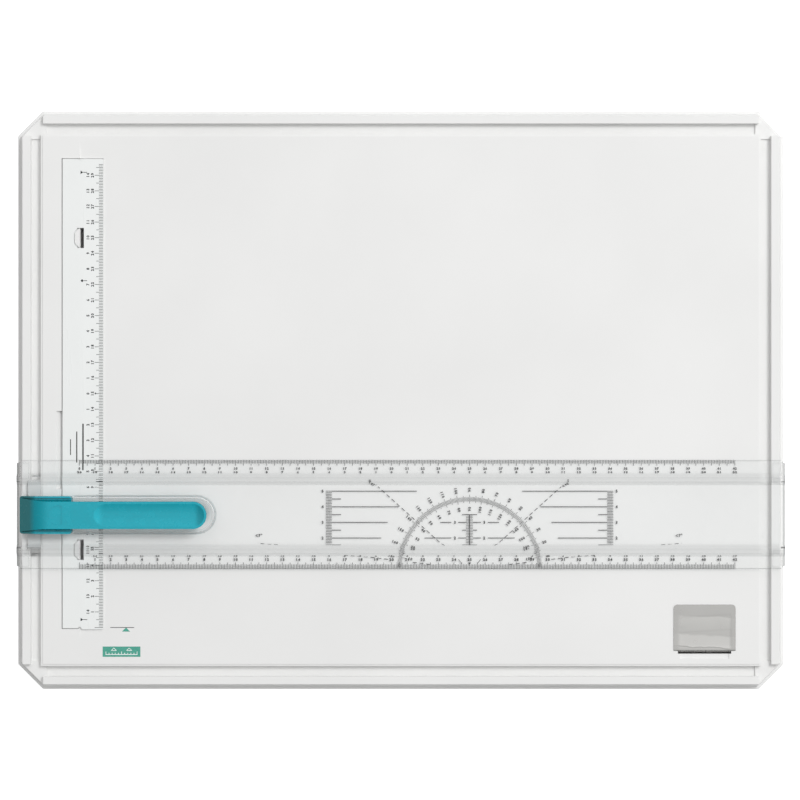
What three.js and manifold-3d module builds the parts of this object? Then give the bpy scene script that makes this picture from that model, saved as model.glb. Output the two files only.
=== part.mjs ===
// Portable drawing board for A3 sheets: a hollow moulded board with edge rails and guide grooves,
// a rocking paper clamp rail, a steel corner clip, and a clear parallel ruler with a stop-and-go lever.
// Millimetres. +X runs along the ruler, +Y away from the user, +Z up from the table.
// The origin is under the middle of the board, on the table.
import * as THREE from "three";
import { mergeVertices } from "three/addons/utils/BufferGeometryUtils.js";
import Module from "manifold-3d";

const wasm = await Module();
wasm.setup();

// ---------------------------------------------------------------- driving dimensions

const GAP = 0.3; // between pieces that touch or slide

// Board, outside to inside.
const BOARD_HALF_X = 247;
const BOARD_HALF_Y = 186.5;
const CORNER_LEG = 16; // of the 45 degree corners
const LIP_WIDTH = 1.9; // base lip that sticks out past the wall
const WALL_DRAFT = 2.3; // how far the outer wall leans in up to the rail
const RAIL_INNER_X = 237.6;
const RAIL_INNER_Y = 177.4;
const LEDGE_HALF_X = 231;
const LEDGE_HALF_Y = 170.6;
const LEDGE_WIDTH = 1.2;
const RAIL_END_X = 229.6; // where the long rails stop at the corners
const RAIL_END_Y = 169.6;
const GROOVE_STOP = 1.9; // the grooves stop this much before the rails do
const WALL = 2.6;

// Board heights.
const SHELL_BOTTOM = 2.5;
const LIP_TOP = 5;
const HALL_TOP = 8.6; // underside of the rails and grooves
const GROOVE_FLOOR = 11.2;
const CORNER_LAND = 12.6;
const DECK_UNDERSIDE = 13.7;
const LEDGE_TOP = 16;
const RAIL_TOP = 16.2;
const SURFACE = 16.5;

// Back cover, screws and feet.
const COVER_INSET = 3.2;
const COVER_TOP = 4.7;
const COVER_BOSS_TOP = 6.4;
const SCREW_X = 190;
const SCREW_Y = 140;
const SCREW_HEAD_R = 2.8;
const SCREW_SHANK_R = 1.4;
const FOOT_X = 222;
const FOOT_Y = 162;
const FOOT_R = 7;
const FOOT_POCKET_TOP = 4.3;

// Paper clamp rail and its bed in the deck.
const CLAMP_X = [-217.15, -190.9];
const CLAMP_Y = [-146.4, 154.65];
const CLAMP_TOE = 0.7; // its thin part reaches this much lower
const CLAMP_END_GAP = 0.35;
const CLAMP_TOP = 17;
const CLAMP_THICK_BOTTOM = 14.5;
const CLAMP_PIVOT_X = -206.4;
const PAPER_STOP_X = -206;
const TROUGH_FLOOR = 15.6;
const END_SLOT_FLOOR = 14.4;
const TROUGH_RIGHT_X = -186.4;
const TROUGH_RAMP = 4.4;
const BED_X = [-217.55, -206.9];
const BED_FLOOR = 11.5;
const HOOK_Y = [103.9, -95.9];
const HOOK_HALF_Y = 6.45;
const HOOK_TOP = 16.9;
const WINDOW_X = [-209.6, -203.3];
const LEAF_SPRING_Y = [66, -30];
const SCOOP_LEFT_X = -221.2; // finger scoop beside the clamp rail
const SCOOP_Y = [-57.1, -7.1];

// Corner clip.
const CLIP_X = [174.9, 214.6];
const CLIP_FRONT_Y = -131.2;
const CLIP_BEND_Y = -158.7;
const CLIP_TAIL_Y = -161.2;
const CLIP_SHEET = 0.4;
const CLIP_MID_Z = 16.8;
const CLIP_SLOT_X = [177.6, 211.8];
const CLIP_SLOT_Y = [-162.8, -159.2];

// Parallel ruler: v is measured from the ruler's own middle line.
const RULER_Y = -73.4;
const RULER_HALF_LENGTH = 245.8;
const RULER_HALF_WIDTH = 35;
const RULER_BOTTOM = 17.6;
const RULER_TOP = 20;
const RULER_EDGE_TOP = 18.6;
const RIB_TOP = 22.4;
const RIM_TOP = 24.8;
const RIM_END_X = -130.6;
const SHOE_HALF_LENGTH = 22;

// Lever.
const LEVER_LEFT_X = -243.9;
const HEAD_RIGHT_X = -210;
const HEAD_HALF_WIDTH = 12;
const RIM_INNER_V = 10.9; // inner face of the head's side rims, from the lever's middle
const HEAD_RIM_TOP = 27.8;
const CHANNEL_FLOOR = 26.2;
const CHANNEL_DEPTH = 1.3; // along the beak
const ARM_HALF_WIDTH = 8.7;
const ARM_END_X = -132.5; // centre of the round end
const HEAD_BOTTOM = 20.4;
const ARM_BOTTOM = 26.6;
const DISH_START_X = -188.8; // centre of the finger dish's left end
const DISH_R = 7.3;
const DISH_DEPTH = 1.6;
const THUMB_SPOT_X = -218.4; // a shallow round spot on the head
const THUMB_SPOT_R = 6.2;
const THUMB_SPOT_DEPTH = 0.3;
const LEVER_TOP = 30.8;
const PIVOT_X = -213;
const PIVOT_Z = 22.1;
const PIN_R = 1;
const EAR_V = [-5, 5]; // middles of the two pivot ears
const BRAKE_X = [-241.8, -238.2];
const BRAKE_HALF_WIDTH = 7;
const LEVER_SPRING_X = -197;

// ---------------------------------------------------------------- solid helpers

// A closed three.js geometry as a solid that can be joined and cut.
function solid(geometry) {
  const plain = geometry.clone();
  plain.deleteAttribute("normal");
  plain.deleteAttribute("uv");
  const merged = mergeVertices(plain, 1e-4);
  return new wasm.Manifold(
    new wasm.Mesh({
      numProp: 3,
      vertProperties: merged.attributes.position.array,
      triVerts: new Uint32Array(merged.index.array),
    }),
  );
}

function geometryOf(manifold) {
  const mesh = manifold.getMesh();
  const geometry = new THREE.BufferGeometry();
  geometry.setAttribute("position", new THREE.BufferAttribute(mesh.vertProperties, 3));
  geometry.setIndex(new THREE.BufferAttribute(mesh.triVerts, 1));
  const flat = geometry.toNonIndexed();
  flat.computeVertexNormals();
  return flat;
}

function join(first, ...others) {
  return others.reduce((sum, next) => sum.add(next), first);
}

function cut(first, ...others) {
  return others.reduce((rest, next) => rest.subtract(next), first);
}

function box([x0, x1], [y0, y1], [z0, z1]) {
  const geometry = new THREE.BoxGeometry(x1 - x0, y1 - y0, z1 - z0);
  geometry.translate((x0 + x1) / 2, (y0 + y1) / 2, (z0 + z1) / 2);
  return solid(geometry);
}

function shapeOf(points) {
  return new THREE.Shape(points.map(([x, y]) => new THREE.Vector2(x, y)));
}

// An outline in plan, raised from z0 to z1.
function prism(points, z0, z1) {
  const geometry = new THREE.ExtrudeGeometry(shapeOf(points), {
    depth: z1 - z0,
    bevelEnabled: false,
  });
  geometry.translate(0, 0, z0);
  return solid(geometry);
}

// A section of (y, z) points swept along X.
function sweepX(points, x0, x1) {
  const geometry = new THREE.ExtrudeGeometry(shapeOf(points), {
    depth: x1 - x0,
    bevelEnabled: false,
  });
  geometry.applyMatrix4(new THREE.Matrix4().set(0, 0, 1, x0, 1, 0, 0, 0, 0, 1, 0, 0, 0, 0, 0, 1));
  return solid(geometry);
}

// A section of (x, z) points swept along Y.
function sweepY(points, y0, y1) {
  const geometry = new THREE.ExtrudeGeometry(shapeOf(points), {
    depth: y1 - y0,
    bevelEnabled: false,
  });
  geometry.applyMatrix4(new THREE.Matrix4().set(1, 0, 0, 0, 0, 0, -1, y1, 0, 1, 0, 0, 0, 0, 0, 1));
  return solid(geometry);
}

// A solid through level outlines with as many corners each: [outline, z] pairs from the lowest up.
function loft(...levels) {
  const count = levels[0][0].length;
  const top = (levels.length - 1) * count;
  const positions = levels.flatMap(([outlineAtLevel, z]) => outlineAtLevel.flatMap(([x, y]) => [x, y, z]));
  const cap = ([outlineAtLevel]) =>
    THREE.ShapeUtils.triangulateShape(outlineAtLevel.map(([x, y]) => new THREE.Vector2(x, y)), []);
  const index = [];
  cap(levels[0]).forEach(([a, b, c]) => index.push(c, b, a));
  cap(levels[levels.length - 1]).forEach(([a, b, c]) => index.push(top + a, top + b, top + c));
  for (let base = 0; base < top; base += count) {
    for (let i = 0; i < count; i += 1) {
      const next = (i + 1) % count;
      index.push(base + i, base + next, base + next + count, base + i, base + next + count, base + i + count);
    }
  }
  const geometry = new THREE.BufferGeometry();
  geometry.setAttribute("position", new THREE.Float32BufferAttribute(positions, 3));
  geometry.setIndex(index);
  return solid(geometry);
}

// A round of revolution about an upright line: (radius, z) points from the axis back to the axis.
function turned(profile, x, y, sides = 24) {
  const geometry = new THREE.LatheGeometry(
    profile.map(([r, z]) => new THREE.Vector2(r, z)),
    sides,
  );
  geometry.rotateX(Math.PI / 2);
  geometry.translate(x, y, 0);
  return solid(geometry);
}

function disc(radius, x, y, z0, z1, sides = 24) {
  return turned([[0, z0], [radius, z0], [radius, z1], [0, z1]], x, y, sides);
}

// A round bar along Y.
function barY(radius, x, z, y0, y1, sides = 24) {
  const geometry = new THREE.CylinderGeometry(radius, radius, y1 - y0, sides);
  geometry.translate(x, (y0 + y1) / 2, z);
  return solid(geometry);
}

// The octagon of the board's outline, moved in by a distance on every side.
function outline(inset) {
  const x = BOARD_HALF_X - inset;
  const y = BOARD_HALF_Y - inset;
  const leg = CORNER_LEG - (2 - Math.SQRT2) * inset;
  return [
    [x, -y + leg], [x, y - leg], [x - leg, y], [-x + leg, y],
    [-x, y - leg], [-x, -y + leg], [-x + leg, -y], [x - leg, -y],
  ];
}

// A rectangle in plan whose corners are cut by arcs of the given radius.
function roundedRectangle([x0, x1], [y0, y1], radius, steps = 5) {
  const corners = [
    [x1 - radius, y1 - radius, 0], [x0 + radius, y1 - radius, 1],
    [x0 + radius, y0 + radius, 2], [x1 - radius, y0 + radius, 3],
  ];
  return corners.flatMap(([cx, cy, quarter]) =>
    Array.from({ length: steps + 1 }, (_, i) => {
      const angle = ((quarter + i / steps) * Math.PI) / 2;
      return [cx + radius * Math.cos(angle), cy + radius * Math.sin(angle)];
    }),
  );
}

// A stadium open to the left: straight from x0, with a half round of the given radius at x1.
function tongue(x0, x1, y, radius, steps = 16) {
  const arc = Array.from({ length: steps + 1 }, (_, i) => {
    const angle = -Math.PI / 2 + (i / steps) * Math.PI;
    return [x1 + radius * Math.cos(angle), y + radius * Math.sin(angle)];
  });
  return [[x0, y - radius], ...arc, [x0, y + radius]];
}

const mirrorPairs = (values) => values.flatMap(([x, y]) => [[x, y], [-x, -y]]);

// ---------------------------------------------------------------- board

function screwPlaces() {
  return [
    ...mirrorPairs([[SCREW_X, SCREW_Y], [-SCREW_X, SCREW_Y]]),
    ...mirrorPairs([[0, SCREW_Y], [SCREW_X, 0]]),
  ];
}

function footPlaces() {
  return mirrorPairs([[FOOT_X, FOOT_Y], [-FOOT_X, FOOT_Y]]);
}

function boardBlock() {
  const lip = join(
    prism(outline(0), SHELL_BOTTOM, LIP_TOP - 0.6),
    loft([outline(0), LIP_TOP - 0.6], [outline(0.5), LIP_TOP]),
  );
  const wall = loft([outline(LIP_WIDTH), LIP_TOP], [outline(LIP_WIDTH + WALL_DRAFT), RAIL_TOP]);
  return join(lip, wall);
}

// The moat between rails and surface, the four grooves in it and the low corners.
function railCuts() {
  const above = RAIL_TOP + 1;
  const cuts = [
    box([-RAIL_INNER_X, RAIL_INNER_X], [-RAIL_INNER_Y, RAIL_INNER_Y], [CORNER_LAND, above]),
  ];
  const grooveEndX = RAIL_END_X - GROOVE_STOP;
  const grooveEndY = RAIL_END_Y - GROOVE_STOP;
  for (const side of [-1, 1]) {
    const across = [side * LEDGE_HALF_X, side * RAIL_INNER_X].sort((a, b) => a - b);
    const along = [side * LEDGE_HALF_Y, side * RAIL_INNER_Y].sort((a, b) => a - b);
    cuts.push(box(across, [-grooveEndY, grooveEndY], [GROOVE_FLOOR, above]));
    cuts.push(box([-grooveEndX, grooveEndX], along, [GROOVE_FLOOR, above]));
    for (const end of [-1, 1]) {
      const x = [side * RAIL_END_X, side * (BOARD_HALF_X + 1)].sort((a, b) => a - b);
      const y = [end * RAIL_END_Y, end * (BOARD_HALF_Y + 1)].sort((a, b) => a - b);
      cuts.push(box(x, y, [CORNER_LAND, above]));
    }
  }
  return cuts;
}

function deckBlock() {
  const innerX = LEDGE_HALF_X - LEDGE_WIDTH;
  const innerY = LEDGE_HALF_Y - LEDGE_WIDTH;
  return join(
    box([-LEDGE_HALF_X, LEDGE_HALF_X], [-LEDGE_HALF_Y, LEDGE_HALF_Y], [HALL_TOP, LEDGE_TOP]),
    box([-innerX, innerX], [-innerY, innerY], [HALL_TOP, SURFACE]),
  );
}

// The space inside the shell, with ribs, bosses and the clamp bed's tub left standing in it.
function hallSpace() {
  const seat = prism(outline(COVER_INSET - GAP), SHELL_BOTTOM - 1, LIP_TOP);
  const low = loft([outline(LIP_WIDTH + WALL), LIP_TOP - 0.1], [outline(LIP_WIDTH + WALL + 0.8), HALL_TOP]);
  const deckX = LEDGE_HALF_X - 3.8;
  const deckY = LEDGE_HALF_Y - 3.8;
  const high = box([-deckX, deckX], [-deckY, deckY], [HALL_TOP - 0.1, DECK_UNDERSIDE]);
  const railX = [RAIL_INNER_X + 1.4, RAIL_INNER_X + 3.2];
  const railY = [RAIL_INNER_Y + 1.4, RAIL_INNER_Y + 3.2];
  const railSlots = [-1, 1].flatMap((side) => [
    box(railX.map((x) => side * x).sort((a, b) => a - b), [-164, 164], [HALL_TOP - 0.1, 13.6]),
    box([-224, 224], railY.map((y) => side * y).sort((a, b) => a - b), [HALL_TOP - 0.1, 13.6]),
  ]);
  const space = join(seat, low, high, ...railSlots);

  const ribs = [];
  for (const x of [-150, -75, 75, 150]) {
    ribs.push(box([x - 0.8, x + 0.8], [-deckY - 1, deckY + 1], [COVER_TOP + GAP, SURFACE - 1]));
  }
  for (const y of [-90, 0, 90]) {
    ribs.push(box([-deckX - 1, deckX + 1], [y - 0.8, y + 0.8], [COVER_BOSS_TOP + GAP, SURFACE - 1]));
  }
  const bosses = screwPlaces().map(([x, y]) => disc(4, x, y, COVER_BOSS_TOP + GAP, SURFACE - 1));
  const tub = box([BED_X[0] - 5.8, BED_X[1] + 2.4], [-150.2, 158.2], [9.1, SURFACE - 1]);
  const clipRoom = box([CLIP_SLOT_X[0] - 1, CLIP_SLOT_X[1] + 1], [-164, -155], [5, DECK_UNDERSIDE]);
  return cut(space, ...ribs.map((rib) => rib.subtract(clipRoom)), ...bosses, tub);
}

// Everything that is sunk into the drawing surface.
function deckCuts() {
  const above = SURFACE + 1;
  const troughTopY = [-153.3, 165.9];
  const bedY = [CLAMP_Y[0] - CLAMP_END_GAP, CLAMP_Y[1] + CLAMP_END_GAP];
  const toeLow = bedY[0] - CLAMP_TOE;
  const rectangle = ([x0, x1], [y0, y1]) => [[x0, y0], [x1, y0], [x1, y1], [x0, y1]];
  const trough = loft(
    [rectangle([PAPER_STOP_X, TROUGH_RIGHT_X - TROUGH_RAMP], [toeLow, bedY[1]]), TROUGH_FLOOR],
    [rectangle([PAPER_STOP_X, TROUGH_RIGHT_X], troughTopY), SURFACE],
  );
  const troughMouth = prism(rectangle([PAPER_STOP_X, TROUGH_RIGHT_X], troughTopY), SURFACE, above);
  const pivotLand = box([BED_X[0], PAPER_STOP_X + 0.1], bedY, [TROUGH_FLOOR, above]);
  const bed = box(BED_X, bedY, [BED_FLOOR, above]);
  const scoop = sweepY(
    [
      [SCOOP_LEFT_X, above], [SCOOP_LEFT_X, SURFACE - 0.2], [-219.9, 14.9], [-218.6, 13.9],
      [BED_X[0] + 0.5, 13.5], [BED_X[0] + 0.5, above],
    ],
    ...SCOOP_Y,
  );
  const hookHoles = HOOK_Y.map((y) =>
    box([PAPER_STOP_X + 0.3, WINDOW_X[1]], [y - HOOK_HALF_Y, y + HOOK_HALF_Y], [HALL_TOP, above]),
  );
  const clipSlot = box(CLIP_SLOT_X, CLIP_SLOT_Y, [DECK_UNDERSIDE - 1, above]);
  const clipRecess = sweepX(
    [
      [CLIP_SLOT_Y[0] + 0.1, 15.7], [CLIP_SLOT_Y[0] + 0.1, above], [-166, above],
      [-166, SURFACE], [-165.3, 15.7],
    ],
    CLIP_SLOT_X[0] + 1.4,
    CLIP_SLOT_X[1] - 1.4,
  );
  const endSlot = box([BED_X[0], CLAMP_X[1]], [CLAMP_Y[1], bedY[1]], [END_SLOT_FLOOR, above]);
  return [trough, troughMouth, pivotLand, bed, scoop, ...hookHoles, clipSlot, clipRecess, endSlot];
}

// A D shaped outline whose straight side faces +X.
function windowOutline(y, inset = 0, right = WINDOW_X[1]) {
  const left = WINDOW_X[0] + inset;
  const half = HOOK_HALF_Y - inset;
  const shoulder = left + 2.4;
  const waist = half - 2.9;
  return [
    [right, y + half], [shoulder, y + half], [left, y + waist],
    [left, y - waist], [shoulder, y - half], [right, y - half],
  ];
}

function clampHooks() {
  return HOOK_Y.map((y) => {
    const half = HOOK_HALF_Y - 0.5;
    const right = PAPER_STOP_X + 0.1;
    const stem = box([right - 1, right], [y - half, y + half], [TROUGH_FLOOR - 1, HOOK_TOP]);
    const head = prism(windowOutline(y, 0.5, right), HOOK_TOP - 0.7, HOOK_TOP);
    return join(stem, head);
  });
}

function topShell() {
  const block = cut(boardBlock(), ...railCuts());
  const screwBores = screwPlaces().map(([x, y]) =>
    disc(SCREW_SHANK_R + 0.2, x, y, COVER_BOSS_TOP - 3, 12.6, 16),
  );
  const shell = cut(join(block, deckBlock()), hallSpace(), ...screwBores, ...deckCuts());
  return join(shell, ...clampHooks());
}

function backCover() {
  const plate = prism(outline(COVER_INSET), SHELL_BOTTOM, COVER_TOP);
  const pads = [
    ...screwPlaces().map(([x, y]) => disc(4.6, x, y, SHELL_BOTTOM, COVER_BOSS_TOP)),
    ...footPlaces().map(([x, y]) => disc(FOOT_R + 2, x, y, SHELL_BOTTOM, 6)),
  ];
  const holes = [
    ...screwPlaces().flatMap(([x, y]) => [
      disc(SCREW_HEAD_R + 0.4, x, y, SHELL_BOTTOM - 1, COVER_TOP + 0.2),
      disc(SCREW_SHANK_R + 0.3, x, y, SHELL_BOTTOM, COVER_BOSS_TOP + 1, 16),
    ]),
    ...footPlaces().map(([x, y]) => disc(FOOT_R + GAP, x, y, SHELL_BOTTOM - 1, FOOT_POCKET_TOP)),
  ];
  const panels = [-122, 0, 122].flatMap((x) =>
    [-68, 68].map((y) =>
      prism(roundedRectangle([x - 52, x + 52], [y - 59, y + 59], 6), SHELL_BOTTOM - 1, SHELL_BOTTOM + 0.8),
    ),
  );
  return cut(join(plate, ...pads), ...holes, ...panels);
}

function rubberFoot(x, y) {
  return turned(
    [[0, 0.5], [3.2, 0.5], [3.8, 0], [6.3, 0], [FOOT_R, 0.8], [FOOT_R, 4], [0, 4]],
    x,
    y,
  );
}

function coverScrew(x, y) {
  const body = turned(
    [[0, 3], [2.2, 3], [SCREW_HEAD_R, 3.5], [SCREW_HEAD_R, COVER_TOP - 0.1], [SCREW_SHANK_R, COVER_TOP - 0.1],
      [SCREW_SHANK_R, 11], [0.3, 12.2], [0, 12.2]],
    x,
    y,
    16,
  );
  const slots = [[1.6, 0.35], [0.35, 1.6]].map(([dx, dy]) => box([x - dx, x + dx], [y - dy, y + dy], [2, 4]));
  return cut(body, ...slots);
}

// ---------------------------------------------------------------- paper clamp rail

function paperClampRail() {
  const [left, right] = CLAMP_X;
  const step = BED_X[1] - 0.4;
  const section = [
    [left, CLAMP_THICK_BOTTOM], [step, CLAMP_THICK_BOTTOM], [step, TROUGH_FLOOR + GAP],
    [right, TROUGH_FLOOR + GAP], [right, SURFACE], [right - 13, CLAMP_TOP], [left + 0.3, CLAMP_TOP],
    [left, CLAMP_TOP - 0.3],
  ];
  const [low, high] = CLAMP_Y;
  const notch = (y, inward) => [
    [PAPER_STOP_X + 1, y], [PAPER_STOP_X + 0.6, y + inward],
    [PAPER_STOP_X - 0.6, y + inward], [PAPER_STOP_X - 1, y],
  ];
  const plan = [
    [left, low], ...notch(low, 0.9).reverse().slice(0, 3), [PAPER_STOP_X + 1.6, low - CLAMP_TOE],
    [right - 0.4, low - CLAMP_TOE], [right, low - CLAMP_TOE + 0.4],
    [right, high - 1.2], [right - 1.2, high], ...notch(high, -0.9), [left, high],
  ];
  const bar = sweepY(section, low - 2, high + 1).intersect(prism(plan, BED_FLOOR, SURFACE + 1));
  const windows = HOOK_Y.flatMap((y) => [
    prism(windowOutline(y), TROUGH_FLOOR + GAP, SURFACE + 1),
    box([step - 0.1, WINDOW_X[1]], [y - HOOK_HALF_Y, y + HOOK_HALF_Y], [BED_FLOOR, SURFACE + 1]),
  ]);
  return cut(bar, ...windows);
}

// An arched steel leaf that lies in the clamp bed along Y.
function clampLeafSpring(y) {
  const halfLength = 23;
  const rise = 1.6;
  const foot = BED_FLOOR + GAP;
  const sheet = 0.4;
  const steps = 12;
  const arch = Array.from({ length: steps + 1 }, (_, i) => {
    const t = (2 * i) / steps - 1;
    return [y + t * halfLength, foot + rise * Math.cos((t * Math.PI) / 2) ** 2];
  });
  const upper = arch.map(([u, z]) => [u, z + sheet]).reverse();
  return sweepX([...arch, ...upper], -214.6, -209.8);
}

// ---------------------------------------------------------------- corner clip

// A sheet metal section: a centre line of (u, z) points given the sheet's thickness.
function sheetSection(points, thickness) {
  const half = thickness / 2;
  const offset = (side) =>
    points.map(([u, z], i) => {
      const [u0, z0] = points[Math.max(i - 1, 0)];
      const [u1, z1] = points[Math.min(i + 1, points.length - 1)];
      const length = Math.hypot(u1 - u0, z1 - z0);
      return [u - (side * half * (z1 - z0)) / length, z + (side * half * (u1 - u0)) / length];
    });
  return [...offset(1), ...offset(-1).reverse()];
}

function cornerClip() {
  const bendRadius = CLIP_BEND_Y - CLIP_TAIL_Y;
  const bend = Array.from({ length: 7 }, (_, i) => {
    const angle = Math.PI / 2 + (i / 6) * (Math.PI / 2);
    return [
      CLIP_BEND_Y + bendRadius * Math.cos(angle),
      CLIP_MID_Z - bendRadius + bendRadius * Math.sin(angle),
    ];
  });
  const hook = [[CLIP_TAIL_Y, 12.9], [CLIP_TAIL_Y + 0.7, 12.2], [-158, 12.2]];
  const centreLine = [[CLIP_FRONT_Y, CLIP_MID_Z], ...bend, ...hook];
  const section = sheetSection(centreLine, CLIP_SHEET).reverse();
  const bar = sweepX(section, ...CLIP_X);
  const radius = 2.4;
  const head = roundedRectangle(CLIP_X, [CLIP_BEND_Y - 1.6, CLIP_FRONT_Y], radius);
  const blank = join(
    prism(head, DECK_UNDERSIDE + 2.8, SURFACE + 1),
    box([CLIP_SLOT_X[0] + 0.6, CLIP_SLOT_X[1] - 0.6], [-163, CLIP_BEND_Y], [11, SURFACE + 1]),
  );
  return bar.intersect(blank);
}

// ---------------------------------------------------------------- parallel ruler

const ruler = (points) => points.map(([v, z]) => [RULER_Y + v, z]);

function rulerSection() {
  const half = [
    [RULER_HALF_WIDTH, RULER_BOTTOM], [RULER_HALF_WIDTH, RULER_EDGE_TOP], [27.4, RULER_TOP],
    [26.9, RULER_TOP], [26.3, RULER_TOP + 0.3], [24.8, RIB_TOP - 0.4], [24.2, RIB_TOP],
    [21.5, RIB_TOP], [20.9, RIB_TOP - 0.4], [19.4, RULER_TOP + 0.3], [18.8, RULER_TOP],
  ];
  const mirrored = half.map(([v, z]) => [-v, z]).reverse();
  return ruler([...half, ...mirrored]);
}

function rulerPlan() {
  const x = RULER_HALF_LENGTH;
  const corner = 2.6;
  const [low, high] = [RULER_Y - RULER_HALF_WIDTH, RULER_Y + RULER_HALF_WIDTH];
  return [
    [-x + corner, low], [x - corner, low], [x, low + corner], [x, high - corner],
    [x - corner, high], [-x + corner, high], [-x, high - corner], [-x, low + corner],
  ];
}

// Pads that ride on the rails and lips that reach down outside them, at the four ends.
function rulerEndPads() {
  return [-1, 1].flatMap((end) =>
    [-28, 28].map((v) => {
      const y = [RULER_Y + v - 5, RULER_Y + v + 5];
      const pad = [end * 238.4, end * RULER_HALF_LENGTH].sort((a, b) => a - b);
      const lip = [end * 243.8, end * (RULER_HALF_LENGTH + 0.3)].sort((a, b) => a - b);
      return join(
        box(pad, y, [RAIL_TOP + GAP, RULER_BOTTOM + 0.5]),
        box(lip, y, [RAIL_TOP - 1.9, RULER_BOTTOM + 0.5]),
      );
    }),
  );
}

// The raised wall around the lever's arm.
function leverRim() {
  const left = HEAD_RIGHT_X + 1;
  const wall = loft(
    [tongue(left, RIM_END_X, RULER_Y, 12.7), RULER_TOP - 0.5],
    [tongue(left, RIM_END_X, RULER_Y, 10.9), RIM_TOP],
  );
  return cut(wall, prism(tongue(left - 1, RIM_END_X, RULER_Y, 9.7), RULER_TOP, RIM_TOP + 1));
}

function pivotEars() {
  return EAR_V.map((v) => {
    const ear = [];
    for (let i = 0; i <= 12; i += 1) {
      const angle = (i / 12) * Math.PI;
      ear.push([PIVOT_X + 2.4 * Math.cos(angle), PIVOT_Z + 2 * Math.sin(angle)]);
    }
    return sweepY([[PIVOT_X - 2.4, RULER_TOP - 0.5], [PIVOT_X + 2.4, RULER_TOP - 0.5], ...ear],
      RULER_Y + v - 1, RULER_Y + v + 1);
  });
}

const SHOE_POCKET_X = [-239.2, -230.5];
const PEG_V = [-10, 10];
const PEG_X = -234.3;

function rulerBody() {
  const plate = sweepX(rulerSection(), -RULER_HALF_LENGTH, RULER_HALF_LENGTH)
    .intersect(prism(rulerPlan(), RULER_BOTTOM - 1, RIB_TOP + 1));
  const shoePocket = box(
    SHOE_POCKET_X,
    [RULER_Y - SHOE_HALF_LENGTH - GAP, RULER_Y + SHOE_HALF_LENGTH + GAP],
    [RULER_BOTTOM - 1, RULER_BOTTOM + 1.2],
  );
  const brakeOpening = box(
    [BRAKE_X[0] - 0.8, BRAKE_X[1] + 0.8],
    [RULER_Y - BRAKE_HALF_WIDTH - 0.8, RULER_Y + BRAKE_HALF_WIDTH + 0.8],
    [RULER_BOTTOM - 1, RULER_TOP + 1],
  );
  const pegs = PEG_V.map((v) => disc(1.5, PEG_X, RULER_Y + v, 13.4, RULER_BOTTOM + 1.3, 16));
  const pinHole = barY(PIN_R + 0.08, PIVOT_X, PIVOT_Z, RULER_Y - 8, RULER_Y + 8);
  const body = join(plate, ...rulerEndPads(), leverRim(), ...pivotEars());
  return join(cut(body, shoePocket, brakeOpening, pinHole), ...pegs);
}

function guideShoe() {
  const y = [RULER_Y - SHOE_HALF_LENGTH, RULER_Y + SHOE_HALF_LENGTH];
  const keel = prism(
    roundedRectangle([-RAIL_INNER_X + GAP, -LEDGE_HALF_X - GAP], y, 2.4),
    GROOVE_FLOOR + 0.4,
    RULER_BOTTOM + 0.5,
  );
  const flangeX = [SHOE_POCKET_X[0] + GAP, SHOE_POCKET_X[1] - GAP];
  const flange = box(flangeX, y, [RULER_BOTTOM - 0.2, RULER_BOTTOM + 0.9]);
  const brakeNotch = box(
    [-245, BRAKE_X[1] + 1.3],
    [RULER_Y - BRAKE_HALF_WIDTH - 1.3, RULER_Y + BRAKE_HALF_WIDTH + 1.3],
    [RAIL_TOP - 0.2, RULER_TOP],
  );
  const holes = PEG_V.map((v) => disc(1.8, PEG_X, RULER_Y + v, 10, RULER_TOP, 16));
  return cut(join(keel, flange), brakeNotch, ...holes);
}

// ---------------------------------------------------------------- lever

// Top line of the lever from its beak to its arm, as (x, z): a long slope, then a round shoulder.
const BEAK = new THREE.SplineCurve(
  [
    [LEVER_LEFT_X, 21.2], [-240, 23.8], [-236, 26.4], [-232, 28.6],
    [-228.5, 30], [-225.5, 30.65], [-222.5, LEVER_TOP],
  ].map(([x, z]) => new THREE.Vector2(x, z)),
)
  .getPoints(18)
  .map(({ x, y }) => [x, y]);

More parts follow.
